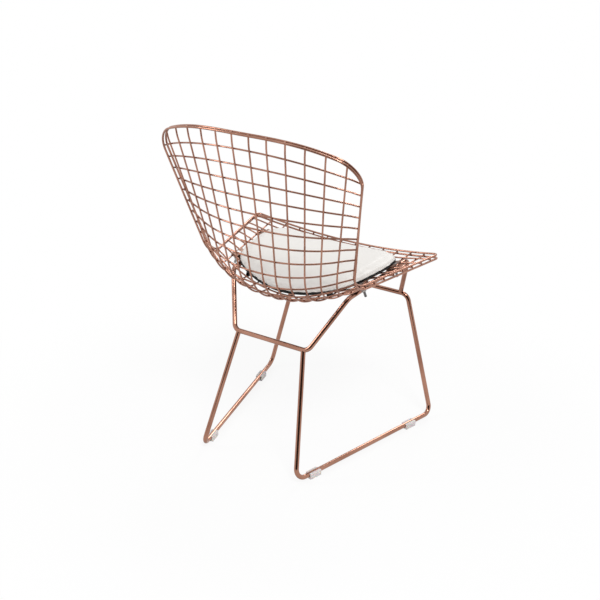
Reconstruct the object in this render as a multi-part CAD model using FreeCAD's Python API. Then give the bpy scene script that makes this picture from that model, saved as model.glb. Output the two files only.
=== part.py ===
import FreeCAD, Part
import math
import os

# Wire mesh chair: a welded wire shell clamped to a bent rod base, with a strapped seat pad
# Millimetres, +Z up, the floor is z = 0, the sitter faces -Y, the chair is mirrored about x = 0

V = FreeCAD.Vector
UP = V(0, 0, 1)
SIDEWAYS = V(1, 0, 0)
ORIGIN = V(0, 0, 0)

# Wire and rod stock
MESH_WIRE_DIA = 3.8
RIM_ROD_DIA = 4.6
BASE_ROD_DIA = 11.0
WELD_BITE = 0.1

# Shell, middle line: top of the back, foot of the back, front of the seat
BACK_TOP_Y = 219.0
BACK_TOP_Z = 770.0
WAIST_Y = 154.5
WAIST_Z = 357.0
WAIST_RADIUS = 107.0
SEAT_FRONT_Y = -205.0
SEAT_FRONT_Z = 405.0

# Shell, side line on the sitter's left, the other side is its mirror image
SIDE_TOP_X = 251.0
SIDE_TOP_Y = 165.0
SIDE_TOP_Z = 720.0
SIDE_WAIST_X = 188.0
SIDE_WAIST_Y = 87.5
SIDE_WAIST_Z = 429.0
SIDE_WAIST_RADIUS = 50.0
SIDE_FRONT_X = 252.0
SIDE_FRONT_Y = -180.5
SIDE_FRONT_Z = 435.5

# Along the middle line, how far later the side bend starts and how much earlier it ends
SIDE_BEND_START_DELAY = 29.0
SIDE_BEND_END_ADVANCE = 14.0

# How the section sags between the two side lines, as a power of the width
BACK_SECTION_POWER = 2.3
SEAT_SECTION_POWER = 2.0
SECTION_CHANGE_START_ROW = 8.5
SECTION_CHANGE_END_ROW = 14.5

# Mesh layout
CROSS_WIRES = 20
LONG_WIRES_PER_SIDE = 6
LONG_WIRE_SPREAD_ANGLE = math.radians(22.1)
OUTER_WIRE_TOP_X = 222.5
OUTER_WIRE_TAPER_PER_ROW = 5.76
OUTER_WIRE_FRONT_X = 211.0
OUTER_WIRE_FLARE_PER_ROW = 5.65
OUTER_WIRE_EASE = 5.0

# Near the rim the wires leave their own side of the mesh and run between the two rim rods
CROSS_WIRE_END_TAPER = 20.0
LONG_WIRE_END_TAPER_ROWS = 0.7
WIRE_END_PAST_RIM = 1.5

# Rim outline on the shell
TOP_RIM_RISE_ROWS = 0.19
TOP_CORNER_WIDTH = 46.0
TOP_CORNER_ROWS = 1.55
FRONT_CORNER_WIDTH = 13.0
FRONT_CORNER_ROWS = 0.46
RIM_BUTT_GAP = 0.2

# Arc pairs along the back, round the bend and along the seat
LONG_WIRE_SPANS = (4, 5, 3)
RIM_SIDE_SPANS = (4, 5, 4)
RIM_TOP_SPANS = 6
RIM_FRONT_CORNER_SPANS = 2
RIM_FRONT_SPANS = 3

# Sled rod
RUNNER_REAR_X = 129.5
RUNNER_REAR_Y = 217.0
RUNNER_FRONT_X = 237.0
RUNNER_FRONT_Y = -213.0
FRONT_BAR_X = 156.5
FRONT_BAR_Y = -220.0
FRONT_BAR_Z = 302.0
REAR_LEG_TOP_X = 87.0
SLED_BEND_RADIUS = 21.0

# Upper frame rod
REAR_BAR_X = 98.0
REAR_BAR_Y = 123.5
REAR_BAR_Z = 280.0
SEAT_RAIL_REAR_Y = 49.0
SEAT_RAIL_FRONT_Y = -190.0
RISER_FOOT_X = 138.0
FRAME_BEND_RADIUS = 20.0

# Seat clamps: the mesh row of each, its bolt, and how far inside the bolt the rail runs
REAR_CLAMP_ROW = 14.5
REAR_CLAMP_BOLT_X = 167.0
REAR_CLAMP_BOLT_TO_RAIL = 16.5
FRONT_CLAMP_ROW = 18.5
FRONT_CLAMP_BOLT_X = 178.0
FRONT_CLAMP_BOLT_TO_RAIL = 17.0
CLAMP_BOLT_DIA = 6.0
CLAMP_BOLT_LENGTH = 32.0
CLAMP_BOLT_TIP_CHAMFER = 0.6
UPPER_PLATE_WIDTH = 15.0
UPPER_PLATE_THICKNESS = 2.5
RAIL_PLATE_WIDTH = 20.0
RAIL_PLATE_THICKNESS = 3.0
CLAMP_PLATE_MARGIN = 3.0
CLAMP_PLATE_CORNER = 3.0
CLAMP_HOLE_CLEARANCE = 0.4
CLAMP_FACE_GAP = 0.1
BOLT_HEAD_DIA = 11.0
BOLT_HEAD_DEPTH = 1.8
BOLT_HEAD_GAP = 0.1
NUT_ACROSS_FLATS = 10.0
NUT_HEIGHT = 5.0
WASHER_DIA = 11.4
WASHER_THICKNESS = 1.4

# Floor glides
GLIDE_LENGTH = 32.0
GLIDE_WIDTH = 17.0
GLIDE_SOLE = 3.5
GLIDE_WRAP_ABOVE_AXIS = 4.5
GLIDE_EDGE = 1.2
GLIDE_FIT = 0.05
REAR_GLIDE_Y = 165.0
FRONT_GLIDE_Y = -138.0

# Seat pad: plan outline, from the middle of the back to the middle of the front
PAD_BACK_Y = 84.0
PAD_FRONT_Y = -163.0
PAD_HALF_WIDTH = 176.0
PAD_OUTLINE_WIDTH_SHARES = (0.0, 0.45, 0.79, 0.92, 0.975, 1.0, 0.93, 0.66, 0.0)
PAD_OUTLINE_DEPTH_SHARES = (0.0, 0.055, 0.165, 0.34, 0.55, 0.74, 0.905, 0.985, 1.0)
PAD_TRIM_MARGIN_ALONG = 25.0
PAD_TRIM_MARGIN_ACROSS = 4.0
PAD_SECTIONS = 8

# Seat pad: heights above the mesh, the stiff board bridges the dip of the seat
PAD_REST_GAP = 0.3
PAD_BOARD_BRIDGE = 7.0
PAD_BOARD_THICKNESS = 4.5
PAD_BOARD_INSET = 0.8
PAD_EDGE_HEIGHT = 9.0
PAD_CROWN = 20.0
PAD_LOWER_EDGE_RADIUS = 2.0
PAD_UPPER_EDGE_RADIUS = 6.0
PAD_CLAMP_RELIEF = 1.0

# Pad straps, a loop of webbing round a long wire under each corner of the pad
STRAP_WIRE_NUMBER = 4
STRAP_REAR_ROW = 13.5
STRAP_FRONT_ROW = 18.5
STRAP_WIDTH = 14.0
STRAP_THICKNESS = 1.2
STRAP_WIRE_CLEARANCE = 0.8
STRAP_REACH = 24.0

RUNNER_Z = GLIDE_SOLE + BASE_ROD_DIA / 2
FRONT_ROW = CROSS_WIRES + 1.0
WIRE_HEIGHT = (MESH_WIRE_DIA - WELD_BITE) / 2
RIM_HEIGHT = (MESH_WIRE_DIA + RIM_ROD_DIA) / 2 - WELD_BITE
SMALL_STEP = 1e-3
SAME_DIRECTION = 1e-9
TANGENT_STEP = 0.05
HALVINGS = 40


class BentLine:
    """Two straight runs joined by one tangent arc, measured along its length."""

    def __init__(self, start, corner, end, radius):
        self.start = start
        self.corner = corner
        self.out = (corner - start).normalize()
        self.on = (end - corner).normalize()
        turn = self.out.getAngle(self.on)
        self.radius = radius
        self.cut_back = radius * math.tan(turn / 2)
        self.first = (corner - start).Length - self.cut_back
        self.arc = radius * turn
        self.last = (end - corner).Length - self.cut_back
        self.length = self.first + self.arc + self.last
        self.inward = (self.on - self.out * self.on.dot(self.out)).normalize()
        self.centre = corner - self.out * self.cut_back + self.inward * radius

    def point(self, distance):
        if distance <= self.first:
            return self.start + self.out * distance
        if distance <= self.first + self.arc:
            angle = (distance - self.first) / self.radius
            across = self.inward * (-self.radius * math.cos(angle))
            return self.centre + across + self.out * (self.radius * math.sin(angle))
        beyond = distance - self.first - self.arc
        return self.corner + self.on * (self.cut_back + beyond)


middle_line = BentLine(
    V(0, BACK_TOP_Y, BACK_TOP_Z),
    V(0, WAIST_Y, WAIST_Z),
    V(0, SEAT_FRONT_Y, SEAT_FRONT_Z),
    WAIST_RADIUS,
)
side_line = BentLine(
    V(SIDE_TOP_X, SIDE_TOP_Y, SIDE_TOP_Z),
    V(SIDE_WAIST_X, SIDE_WAIST_Y, SIDE_WAIST_Z),
    V(SIDE_FRONT_X, SIDE_FRONT_Y, SIDE_FRONT_Z),
    SIDE_WAIST_RADIUS,
)
ROW_LENGTH = middle_line.length / FRONT_ROW
BEND_FIRST_ROW = middle_line.first / ROW_LENGTH
BEND_LAST_ROW = (middle_line.first + middle_line.arc) / ROW_LENGTH
SIDE_BEND_START = middle_line.first + SIDE_BEND_START_DELAY
SIDE_BEND_END = middle_line.first + middle_line.arc - SIDE_BEND_END_ADVANCE


def share_of_span(value, low, high):
    return min(max((value - low) / (high - low), 0.0), 1.0)


def ease(share):
    return share * share * (3 - 2 * share)


def solve(function, low, high):
    low_sign = function(low) > 0
    for _ in range(HALVINGS):
        middle = (low + high) / 2
        if (function(middle) > 0) == low_sign:
            low = middle
        else:
            high = middle
    return (low + high) / 2


# Shell surface: a row number counts the cross wires down from the top rim
def middle_point(row):
    return middle_line.point(ROW_LENGTH * row)


def side_point(row):
    along = ROW_LENGTH * row
    if along <= SIDE_BEND_START:
        return side_line.point(side_line.first * along / SIDE_BEND_START)
    if along <= SIDE_BEND_END:
        share = (along - SIDE_BEND_START) / (SIDE_BEND_END - SIDE_BEND_START)
        return side_line.point(side_line.first + side_line.arc * share)
    share = (along - SIDE_BEND_END) / (middle_line.length - SIDE_BEND_END)
    return side_line.point(side_line.first + side_line.arc + side_line.last * share)


def shell_point(row, x):
    middle = middle_point(row)
    side = side_point(row)
    change = ease(share_of_span(row, SECTION_CHANGE_START_ROW, SECTION_CHANGE_END_ROW))
    power = BACK_SECTION_POWER + (SEAT_SECTION_POWER - BACK_SECTION_POWER) * change
    share = (abs(x) / side.x) ** power
    y = middle.y + (side.y - middle.y) * share
    z = middle.z + (side.z - middle.z) * share
    return V(x, y, z)


def shell_axes(row, x):
    down_row = (shell_point(row + SMALL_STEP, x) - shell_point(row - SMALL_STEP, x)).normalize()
    outward = shell_point(row, x + SMALL_STEP) - shell_point(row, x - SMALL_STEP)
    inner = down_row.cross(outward).normalize()
    return down_row, inner


def offset_point(row, x, height):
    return shell_point(row, x) + shell_axes(row, x)[1] * height


def shell_placement(row, x):
    """Local x runs outward, local y runs backward, local z leaves the mesh on the sitter's side."""
    down_row, inner = shell_axes(row, x)
    back = down_row * -1
    out = back.cross(inner)
    origin = shell_point(row, x)
    return FreeCAD.Placement(FreeCAD.Matrix(
        out.x, back.x, inner.x, origin.x,
        out.y, back.y, inner.y, origin.y,
        out.z, back.z, inner.z, origin.z,
        0, 0, 0, 1,
    ))


def wire_x(number, row):
    tapering = OUTER_WIRE_TOP_X - OUTER_WIRE_TAPER_PER_ROW * row
    flaring = OUTER_WIRE_FRONT_X - OUTER_WIRE_FLARE_PER_ROW * (FRONT_ROW - row)
    outer = (tapering + flaring + math.hypot(tapering - flaring, OUTER_WIRE_EASE)) / 2
    place = (2 * number - 1) / (2 * LONG_WIRES_PER_SIDE - 1)
    return outer * math.sin(place * LONG_WIRE_SPREAD_ANGLE) / math.sin(LONG_WIRE_SPREAD_ANGLE)


# Rim outline as a row and a width, for t from 0 at the top middle to 5 at the front middle
TOP_CORNER_X = SIDE_TOP_X - TOP_CORNER_WIDTH
TOP_CORNER_END_ROW = TOP_CORNER_ROWS - TOP_RIM_RISE_ROWS
FRONT_CORNER_ROW = FRONT_ROW - FRONT_CORNER_ROWS
RIM_T_TOP_CORNER = 1
RIM_T_SIDE = 2
RIM_T_FRONT_CORNER = 3
RIM_T_FRONT = 4
RIM_T_END = 5


def rim_place(t):
    if t <= RIM_T_TOP_CORNER:
        return -TOP_RIM_RISE_ROWS * ease(t), TOP_CORNER_X * t
    if t <= RIM_T_SIDE:
        angle = (t - RIM_T_TOP_CORNER) * math.pi / 2
        row = TOP_CORNER_END_ROW - TOP_CORNER_ROWS * math.cos(angle)
        return row, TOP_CORNER_X + (side_point(row).x - TOP_CORNER_X) * math.sin(angle)
    if t <= RIM_T_FRONT_CORNER:
        span = FRONT_CORNER_ROW - TOP_CORNER_END_ROW
        row = TOP_CORNER_END_ROW + span * (t - RIM_T_SIDE)
        return row, side_point(row).x
    if t <= RIM_T_FRONT:
        angle = (t - RIM_T_FRONT_CORNER) * math.pi / 2
        row = FRONT_CORNER_ROW + FRONT_CORNER_ROWS * math.sin(angle)
        return row, side_point(row).x - FRONT_CORNER_WIDTH * (1 - math.cos(angle))
    return FRONT_ROW, (SIDE_FRONT_X - FRONT_CORNER_WIDTH) * (RIM_T_END - t)


def rim_x_at_row(row):
    if row >= TOP_CORNER_END_ROW:
        return side_point(row).x
    t = solve(lambda value: rim_place(value)[0] - row, RIM_T_TOP_CORNER, RIM_T_SIDE)
    return rim_place(t)[1]


def top_row_of_wire(number):
    def beside_rim(t):
        row, x = rim_place(t)
        return wire_x(number, row) - x

    return rim_place(solve(beside_rim, 0, RIM_T_SIDE))[0]


# Curves and swept rods
def arc_or_line(start, tangent, end):
    chord = end - start
    aside = tangent - chord * (tangent.dot(chord) / chord.dot(chord))
    rise = chord.Length / 2 * math.tan(tangent.getAngle(chord) / 2)
    if rise < SMALL_STEP:
        return Part.LineSegment(start, end).toShape()
    middle = start + chord * 0.5 + aside.normalize() * rise
    return Part.Arc(start, middle, end).toShape()


def biarc(start, start_tangent, end, end_tangent):
    """Two arcs that meet smoothly and leave and arrive along the given tangents."""
    chord = end - start
    spread = 2 * (1 - start_tangent.dot(end_tangent))
    reach = chord.dot(start_tangent + end_tangent)
    if spread < SAME_DIRECTION:
        handle = chord.dot(chord) / (2 * reach)
    else:
        handle = (math.sqrt(reach ** 2 + spread * chord.dot(chord)) - reach) / spread
    joint = (start + end + (start_tangent - end_tangent) * handle) * 0.5
    joint_tangent = (joint - start - start_tangent * handle).normalize()
    return [
        arc_or_line(start, start_tangent, joint),
        arc_or_line(joint, joint_tangent, end),
    ]


def spaced(first, last, spans):
    """The starts of equal spans from first to last."""
    return [first + (last - first) * index / spans for index in range(spans)]


def rows_down_shell(first, last, back_spans, bend_spans, seat_spans):
    rows = spaced(first, BEND_FIRST_ROW, back_spans)
    rows += spaced(BEND_FIRST_ROW, BEND_LAST_ROW, bend_spans)
    return rows + spaced(BEND_LAST_ROW, last, seat_spans)


def curve_edges(curve, stations):
    points = [curve(t) for t in stations]
    step = TANGENT_STEP * min(after - before for before, after in zip(stations, stations[1:]))
    tangents = [(curve(t + step) - curve(t - step)).normalize() for t in stations]
    edges = []
    for index in range(len(points) - 1):
        edges += biarc(points[index], tangents[index], points[index + 1], tangents[index + 1])
    return edges


def swept_rod(edges, diameter):
    path = Part.Wire(edges)
    start = edges[0].valueAt(edges[0].FirstParameter)
    tangent = edges[0].tangentAt(edges[0].FirstParameter)
    section = Part.Wire(Part.makeCircle(diameter / 2, start, tangent))
    return path.makePipeShell([section], True, False)


def bent_path(corners, radius):
    edges = []
    previous = corners[0]
    for before, corner, after in zip(corners, corners[1:], corners[2:]):
        bend = BentLine(before, corner, after, radius)
        arc_start = bend.point(bend.first)
        arc_end = bend.point(bend.first + bend.arc)
        edges.append(Part.LineSegment(previous, arc_start).toShape())
        edges.append(Part.Arc(arc_start, bend.point(bend.first + bend.arc / 2), arc_end).toShape())
        previous = arc_end
    edges.append(Part.LineSegment(previous, corners[-1]).toShape())
    return edges


def mirrored(shape):
    return shape.mirror(ORIGIN, SIDEWAYS)


def mirror_point(point):
    return V(-point.x, point.y, point.z)


# Mesh wires
def cross_wire(row):
    end_x = rim_x_at_row(row)

    def curve(x):
        inside = share_of_span(end_x - abs(x), 0.0, CROSS_WIRE_END_TAPER)
        return offset_point(row, x, WIRE_HEIGHT * ease(inside))

    past = end_x + WIRE_END_PAST_RIM
    taper_x = end_x - CROSS_WIRE_END_TAPER
    half = [past, end_x - CROSS_WIRE_END_TAPER / 2, taper_x]
    inner_numbers = range(LONG_WIRES_PER_SIDE - 1, 0, -2)
    half += [wire_x(number, row) for number in (LONG_WIRES_PER_SIDE, *inner_numbers)]
    stations = [-x for x in half] + [0.0] + list(reversed(half))
    return swept_rod(curve_edges(curve, stations), MESH_WIRE_DIA)


def long_wire(number):
    top_row = top_row_of_wire(number)

    def curve(row):
        to_end = min(row - top_row, FRONT_ROW - row)
        inside = share_of_span(to_end, 0.0, LONG_WIRE_END_TAPER_ROWS)
        return offset_point(row, wire_x(number, row), -WIRE_HEIGHT * ease(inside))

    past_rows = WIRE_END_PAST_RIM / ROW_LENGTH
    half_taper = LONG_WIRE_END_TAPER_ROWS / 2
    first = top_row + LONG_WIRE_END_TAPER_ROWS
    last = FRONT_ROW - LONG_WIRE_END_TAPER_ROWS
    stations = [top_row - past_rows, top_row + half_taper]
    stations += rows_down_shell(first, last, *LONG_WIRE_SPANS)
    stations += [last, FRONT_ROW - half_taper, FRONT_ROW + past_rows]
    return swept_rod(curve_edges(curve, stations), MESH_WIRE_DIA)


def rim_rod(height):
    def curve(t):
        row, x = rim_place(abs(t))
        return offset_point(row, math.copysign(x, t), height)

    end_t = RIM_T_END - RIM_BUTT_GAP / 2 / (SIDE_FRONT_X - FRONT_CORNER_WIDTH)
    span = FRONT_CORNER_ROW - TOP_CORNER_END_ROW
    side_rows = rows_down_shell(TOP_CORNER_END_ROW, FRONT_CORNER_ROW, *RIM_SIDE_SPANS)
    half = spaced(0, RIM_T_SIDE, RIM_TOP_SPANS)[1:]
    half += [RIM_T_SIDE + (row - TOP_CORNER_END_ROW) / span for row in side_rows]
    half += spaced(RIM_T_FRONT_CORNER, RIM_T_FRONT, RIM_FRONT_CORNER_SPANS)
    half += spaced(RIM_T_FRONT, end_t, RIM_FRONT_SPANS) + [end_t]
    stations = [-t for t in reversed(half)] + [0.0] + half
    return swept_rod(curve_edges(curve, stations), RIM_ROD_DIA)


# Clamps, built flat round their bolt and then placed on the seat
class Clamp:
    """One seat clamp, with its heights read from the wires it grips."""

    def __init__(self, row, bolt_x, bolt_to_rail):
        self.placement = shell_placement(row, bolt_x)
        self.bolt_to_rail = bolt_to_rail
        to_local = self.placement.inverse()
        half_width = UPPER_PLATE_WIDTH / 2
        cross_wires = []
        for cross_row in (math.floor(row), math.ceil(row)):
            for x in (bolt_x - half_width, bolt_x, bolt_x + half_width):
                cross_wires.append(to_local.multVec(offset_point(cross_row, x, WIRE_HEIGHT)))
        rail_plate_rows = RAIL_PLATE_WIDTH / 2 / ROW_LENGTH
        long_wires = []
        for number in (LONG_WIRES_PER_SIDE - 1, LONG_WIRES_PER_SIDE):
            for long_row in (row - rail_plate_rows, row, row + rail_plate_rows):
                x = wire_x(number, long_row)
                long_wires.append(to_local.multVec(offset_point(long_row, x, -WIRE_HEIGHT)))
        reach = MESH_WIRE_DIA / 2 + CLAMP_FACE_GAP
        self.upper_bottom = max(point.z for point in cross_wires) + reach
        self.rail_top = min(point.z for point in long_wires) - reach
        self.front_y = min(point.y for point in cross_wires) - CLAMP_PLATE_MARGIN
        self.back_y = max(point.y for point in cross_wires) + CLAMP_PLATE_MARGIN
        self.inner_x = min(-bolt_to_rail, min(point.x for point in long_wires)) - CLAMP_PLATE_MARGIN
        self.outer_x = max(point.x for point in long_wires) + CLAMP_PLATE_MARGIN
        self.upper_top = self.upper_bottom + UPPER_PLATE_THICKNESS
        self.rail_bottom = self.rail_top - RAIL_PLATE_THICKNESS
        self.washer_bottom = self.rail_bottom - WASHER_THICKNESS
        self.nut_bottom = self.washer_bottom - NUT_HEIGHT

    def head(self, gap):
        base = V(0, 0, self.upper_top - BOLT_HEAD_DEPTH)
        narrow = CLAMP_BOLT_DIA / 2 + gap
        return Part.makeCone(narrow, BOLT_HEAD_DIA / 2 + gap, BOLT_HEAD_DEPTH, base)

    def upper_plate(self):
        low = V(-UPPER_PLATE_WIDTH / 2, self.front_y, self.upper_bottom)
        high = V(UPPER_PLATE_WIDTH / 2, self.back_y, self.upper_top)
        return drilled_plate(low, high).cut(self.head(BOLT_HEAD_GAP))

    def rail_plate(self):
        low = V(self.inner_x, -RAIL_PLATE_WIDTH / 2, self.rail_bottom)
        high = V(self.outer_x, RAIL_PLATE_WIDTH / 2, self.rail_top)
        return drilled_plate(low, high)

    def bolt(self):
        bottom = self.upper_top - CLAMP_BOLT_LENGTH
        top = self.upper_top - BOLT_HEAD_DEPTH
        shank = Part.makeCylinder(CLAMP_BOLT_DIA / 2, top - bottom, V(0, 0, bottom))
        tip = [edge for edge in shank.Edges if edge.BoundBox.ZMax < bottom + SMALL_STEP]
        shank = shank.makeChamfer(CLAMP_BOLT_TIP_CHAMFER, tip)
        return shank.fuse(self.head(0.0)).removeSplitter()

    def washer(self):
        base = V(0, 0, self.washer_bottom)
        bore = (CLAMP_BOLT_DIA + CLAMP_HOLE_CLEARANCE) / 2
        ring = Part.makeCylinder(WASHER_DIA / 2, WASHER_THICKNESS, base)
        return ring.cut(Part.makeCylinder(bore, WASHER_THICKNESS, base))

    def nut(self):
        corner = NUT_ACROSS_FLATS / 2 / math.cos(math.pi / 6)
        points = []
        for side in range(7):
            angle = side * math.pi / 3
            points.append(V(corner * math.cos(angle), corner * math.sin(angle), self.nut_bottom))
        prism = Part.Face(Part.makePolygon(points)).extrude(V(0, 0, NUT_HEIGHT))
        base = V(0, 0, self.nut_bottom)
        return prism.cut(Part.makeCylinder(CLAMP_BOLT_DIA / 2, NUT_HEIGHT, base))

    def relief(self):
        grow = PAD_CLAMP_RELIEF
        low = V(-UPPER_PLATE_WIDTH / 2 - grow, self.front_y - grow, self.upper_bottom - grow)
        high = V(UPPER_PLATE_WIDTH / 2 + grow, self.back_y + grow, self.upper_top + grow)
        return self.placed(box_between(low, high))

    def rail_point(self):
        height = self.rail_bottom - BASE_ROD_DIA / 2 + WELD_BITE
        return self.placement.multVec(V(-self.bolt_to_rail, 0, height))

    def placed(self, flat_shape):
        copy = flat_shape.copy()
        copy.Placement = self.placement.multiply(copy.Placement)
        return copy


def box_between(low, high):
    size = high - low
    return Part.makeBox(size.x, size.y, size.z, low)


def drilled_plate(low, high):
    plate = box_between(low, high)
    uprights = [edge for edge in plate.Edges if edge.BoundBox.ZLength > SMALL_STEP]
    plate = plate.makeFillet(CLAMP_PLATE_CORNER, uprights)
    bore = (CLAMP_BOLT_DIA + CLAMP_HOLE_CLEARANCE) / 2
    hole = Part.makeCylinder(bore, high.z - low.z, V(0, 0, low.z))
    return plate.cut(hole)


CLAMPS = [
    Clamp(REAR_CLAMP_ROW, REAR_CLAMP_BOLT_X, REAR_CLAMP_BOLT_TO_RAIL),
    Clamp(FRONT_CLAMP_ROW, FRONT_CLAMP_BOLT_X, FRONT_CLAMP_BOLT_TO_RAIL),
]


def at_every_clamp(make_piece):
    solids = []
    for clamp in CLAMPS:
        piece = clamp.placed(make_piece(clamp))
        solids += [piece, mirrored(piece)]
    return Part.makeCompound(solids)


# Base rods
def both_sides(half):
    return half + [mirror_point(point) for point in reversed(half)]


def sled_rod():
    half = [
        V(REAR_LEG_TOP_X, REAR_BAR_Y, REAR_BAR_Z),
        V(RUNNER_REAR_X, RUNNER_REAR_Y, RUNNER_Z),
        V(RUNNER_FRONT_X, RUNNER_FRONT_Y, RUNNER_Z),
        V(FRONT_BAR_X, FRONT_BAR_Y, FRONT_BAR_Z),
    ]
    return swept_rod(bent_path(both_sides(half), SLED_BEND_RADIUS), BASE_ROD_DIA)


def upper_frame_rod():
    rear, front = [clamp.rail_point() for clamp in CLAMPS]
    run = (front - rear) * (1 / (front.y - rear.y))
    half = [
        V(RISER_FOOT_X, FRONT_BAR_Y, FRONT_BAR_Z),
        rear + run * (SEAT_RAIL_FRONT_Y - rear.y),
        rear + run * (SEAT_RAIL_REAR_Y - rear.y),
        V(REAR_BAR_X, REAR_BAR_Y, REAR_BAR_Z),
    ]
    return swept_rod(bent_path(both_sides(half), FRAME_BEND_RADIUS), BASE_ROD_DIA)


def coped(rod, other, y_low, y_high):
    """The rod with its ends shaped to sit on the other rod, inside a slice of the chair's depth."""
    low = V(-RUNNER_FRONT_X, y_low, 0)
    high = V(RUNNER_FRONT_X, y_high, BACK_TOP_Z)
    bar = other.common(box_between(low, high))
    return max(rod.cut(bar).Solids, key=lambda solid: solid.Volume)


# Glides, a plastic saddle that snaps over the runner from below
def glide(y):
    size = V(GLIDE_WIDTH, GLIDE_LENGTH, RUNNER_Z + GLIDE_WRAP_ABOVE_AXIS)
    low = V(-size.x / 2, -size.y / 2, 0)
    block = box_between(low, low + size)
    upper = [edge for edge in block.Edges if edge.BoundBox.ZMax > SMALL_STEP]
    block = block.makeFillet(GLIDE_EDGE, upper)
    start = V(0, -GLIDE_LENGTH, RUNNER_Z)
    radius = BASE_ROD_DIA / 2 + GLIDE_FIT
    block = block.cut(Part.makeCylinder(radius, 2 * GLIDE_LENGTH, start, V(0, 1, 0)))
    slant = (RUNNER_FRONT_X - RUNNER_REAR_X) / (RUNNER_REAR_Y - RUNNER_FRONT_Y)
    x = RUNNER_REAR_X + slant * (RUNNER_REAR_Y - y)
    block.rotate(ORIGIN, UP, math.degrees(math.atan(slant)))
    block.translate(V(x, y, 0))
    return block


# Seat pad, cut to its plan outline from a slab that follows the mesh
def pad_outline(inset):
    width = PAD_HALF_WIDTH - inset
    back = PAD_BACK_Y - inset
    depth = PAD_BACK_Y - PAD_FRONT_Y - 2 * inset
    half = []
    for across, along in zip(PAD_OUTLINE_WIDTH_SHARES, PAD_OUTLINE_DEPTH_SHARES):
        half.append(V(width * across, back - depth * along, 0))
    loop = half + [mirror_point(point) for point in reversed(half[1:-1])]
    count = len(loop)
    tangents = [(loop[(i + 1) % count] - loop[i - 1]).normalize() for i in range(count)]
    edges = []
    for index in range(count):
        after = (index + 1) % count
        edges += biarc(loop[index], tangents[index], loop[after], tangents[after])
    return Part.Face(Part.Wire(edges))


def pad_row(y):
    return solve(lambda row: middle_point(row).y - y, BEND_FIRST_ROW, FRONT_ROW)


def pad_point(row, x, height):
    """A point at a height above the mesh, inside the flat plane that holds the row."""
    rise = side_point(row) - middle_point(row)
    rise.x = 0
    rise.normalize()
    return shell_point(row, x) + rise * (height / rise.dot(shell_axes(row, x)[1]))


def pad_section(row, low, high_middle, high_side):
    side = PAD_HALF_WIDTH + PAD_TRIM_MARGIN_ACROSS
    low_end = pad_point(row, side, low)
    high_end = pad_point(row, side, high_side)
    low_other = mirror_point(low_end)
    high_other = mirror_point(high_end)
    return Part.Wire([
        Part.Arc(low_other, pad_point(row, 0, low + PAD_BOARD_BRIDGE), low_end).toShape(),
        Part.LineSegment(low_end, high_end).toShape(),
        Part.Arc(high_end, pad_point(row, 0, high_middle + PAD_BOARD_BRIDGE), high_other).toShape(),
        Part.LineSegment(high_other, low_other).toShape(),
    ])


def pad_slab(low, high, crown):
    back_row = pad_row(PAD_BACK_Y)
    front_row = pad_row(PAD_FRONT_Y)
    margin_rows = PAD_TRIM_MARGIN_ALONG / ROW_LENGTH
    sections = []
    for index in range(PAD_SECTIONS):
        share = index / (PAD_SECTIONS - 1)
        row = back_row - margin_rows + (front_row - back_row + 2 * margin_rows) * share
        from_middle = 2 * share_of_span(row, back_row, front_row) - 1
        middle = high + crown * (1 - from_middle ** 2)
        sections.append(pad_section(row, low, middle, high))
    return Part.makeLoft(sections, True, False)


def trimmed_pad(slab, inset):
    prism = pad_outline(inset).extrude(V(0, 0, BACK_TOP_Z))
    return slab.common(prism).Solids[0]


PAD_BOTTOM = WIRE_HEIGHT + MESH_WIRE_DIA / 2 + PAD_REST_GAP
PAD_BOARD_TOP = PAD_BOTTOM + PAD_BOARD_THICKNESS


def pad_board():
    board = trimmed_pad(pad_slab(PAD_BOTTOM, PAD_BOARD_TOP, 0.0), PAD_BOARD_INSET)
    for clamp in CLAMPS:
        relief = clamp.relief()
        board = board.cut(relief).cut(mirrored(relief))
    return board.Solids[0]


def pad_cushion():
    edge_top = PAD_BOARD_TOP + PAD_EDGE_HEIGHT
    cushion = trimmed_pad(pad_slab(PAD_BOARD_TOP, edge_top, PAD_CROWN), 0.0)
    cushion = cushion.makeFillet(PAD_UPPER_EDGE_RADIUS, broad_faces(cushion)[1].OuterWire.Edges)
    return cushion.makeFillet(PAD_LOWER_EDGE_RADIUS, broad_faces(cushion)[0].OuterWire.Edges)


def broad_faces(pad):
    """The underside and the top of a pad, its two largest faces."""
    largest = sorted(pad.Faces, key=lambda face: face.Area)[-2:]
    return sorted(largest, key=lambda face: face.CenterOfMass.z)


def strap(row, above_board):
    wire_radius = MESH_WIRE_DIA / 2 + STRAP_WIRE_CLEARANCE
    layers = []
    for radius in (wire_radius + STRAP_THICKNESS, wire_radius):
        low = V(-radius, -STRAP_WIDTH / 2, -WIRE_HEIGHT)
        high = V(radius, STRAP_WIDTH / 2, STRAP_REACH)
        round_base = V(0, -STRAP_WIDTH / 2, -WIRE_HEIGHT)
        bend = Part.makeCylinder(radius, STRAP_WIDTH, round_base, V(0, 1, 0))
        layers.append(box_between(low, high).fuse(bend))
    loop = layers[0].cut(layers[1])
    loop.Placement = shell_placement(row, wire_x(STRAP_WIRE_NUMBER, row))
    return loop.cut(above_board).Solids[0]


def pad_straps():
    above_board = pad_slab(PAD_BOTTOM, PAD_BOTTOM + 2 * STRAP_REACH, 0.0)
    solids = []
    for row in (STRAP_REAR_ROW, STRAP_FRONT_ROW):
        one = strap(row, above_board)
        solids += [one, mirrored(one)]
    return Part.makeCompound(solids)


def save(name, shape):
    volume = sum(solid.Volume for solid in shape.Solids)
    valid = all(solid.isValid() for solid in shape.Solids)
    print(name, "solids", len(shape.Solids), "volume", round(volume, 1), "valid", valid)
    shape.exportStep(os.path.join("parts", name + ".step"))


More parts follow.
